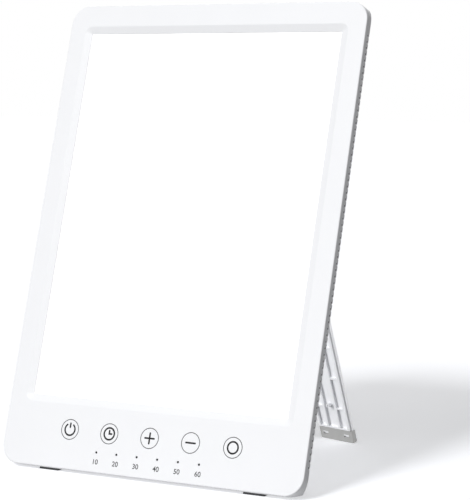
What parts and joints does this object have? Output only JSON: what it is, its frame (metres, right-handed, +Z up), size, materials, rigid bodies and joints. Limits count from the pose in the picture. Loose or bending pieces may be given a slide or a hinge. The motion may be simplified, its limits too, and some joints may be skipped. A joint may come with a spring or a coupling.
{
  "type": "light therapy lamp",
  "caption": "Slim upright light panel with a bevelled glowing window, a row of round touch keys below it and a ribbed folding leg on an aslant hinge behind.",
  "frame": {"origin": "centre of the footprint box on the surface the lamp stands on, with the leg open", "axes": "+Z up; the window faces -Y, leaning back; +X to the right seen from the front"},
  "size_m": [0.18, 0.1535, 0.2449],
  "materials": {
    "white_plastic": "fine matt moulding",
    "diffuser": "opal, lit from behind",
    "clear_acrylic": "clear, polished",
    "reflector_film": "smooth white film",
    "aluminium_sheet": "mill finish",
    "strip_white": "white solder mask",
    "diode": "moulded resin",
    "green_board": "solder mask",
    "copper": "bright",
    "pipe_acrylic": "smoked, polished",
    "black_plastic": "fine matt moulding",
    "ribbon": "smooth film",
    "zinc_steel": "zinc plated",
    "dark_rubber": "matt",
    "grey_rubber": "matt",
    "washer": "smooth"
  },
  "bodies": {
    "panel": {"front_frame": "white_plastic", "rear_cover": "white_plastic", "diffuser_sheet": "diffuser", "light_guide": "clear_acrylic", "reflector_sheet": "reflector_film", "back_plate": "aluminium_sheet", "strip_board_left": "strip_white", "strip_board_right": "strip_white", "strip_diodes_left": "diode", "strip_diodes_right": "diode", "control_board": "green_board", "touch_springs": "copper", "indicator_diodes": "diode", "light_pipes": "pipe_acrylic", "driver_board": "green_board", "driver_coil": "black_plastic", "driver_capacitors": "black_plastic", "board_ribbon": "ribbon", "power_inlet": "black_plastic", "board_screws": "zinc_steel", "case_screws": "zinc_steel", "front_feet": "dark_rubber", "hinge_bracket": "zinc_steel", "bracket_screws": "zinc_steel", "hinge_pin": "zinc_steel", "friction_washers": "washer"},
    "leg": {"leg": "white_plastic", "leg_foot": "grey_rubber"}
  },
  "joints": [
    {"name": "leg_fold", "type": "hinge", "parent": "panel", "child": "leg", "pos_m": [0.018, 0.00661, 0.21884], "axis": [-0.8829, 0.1388, 0.4485], "range_deg": [0, 38.64]}
  ]
}
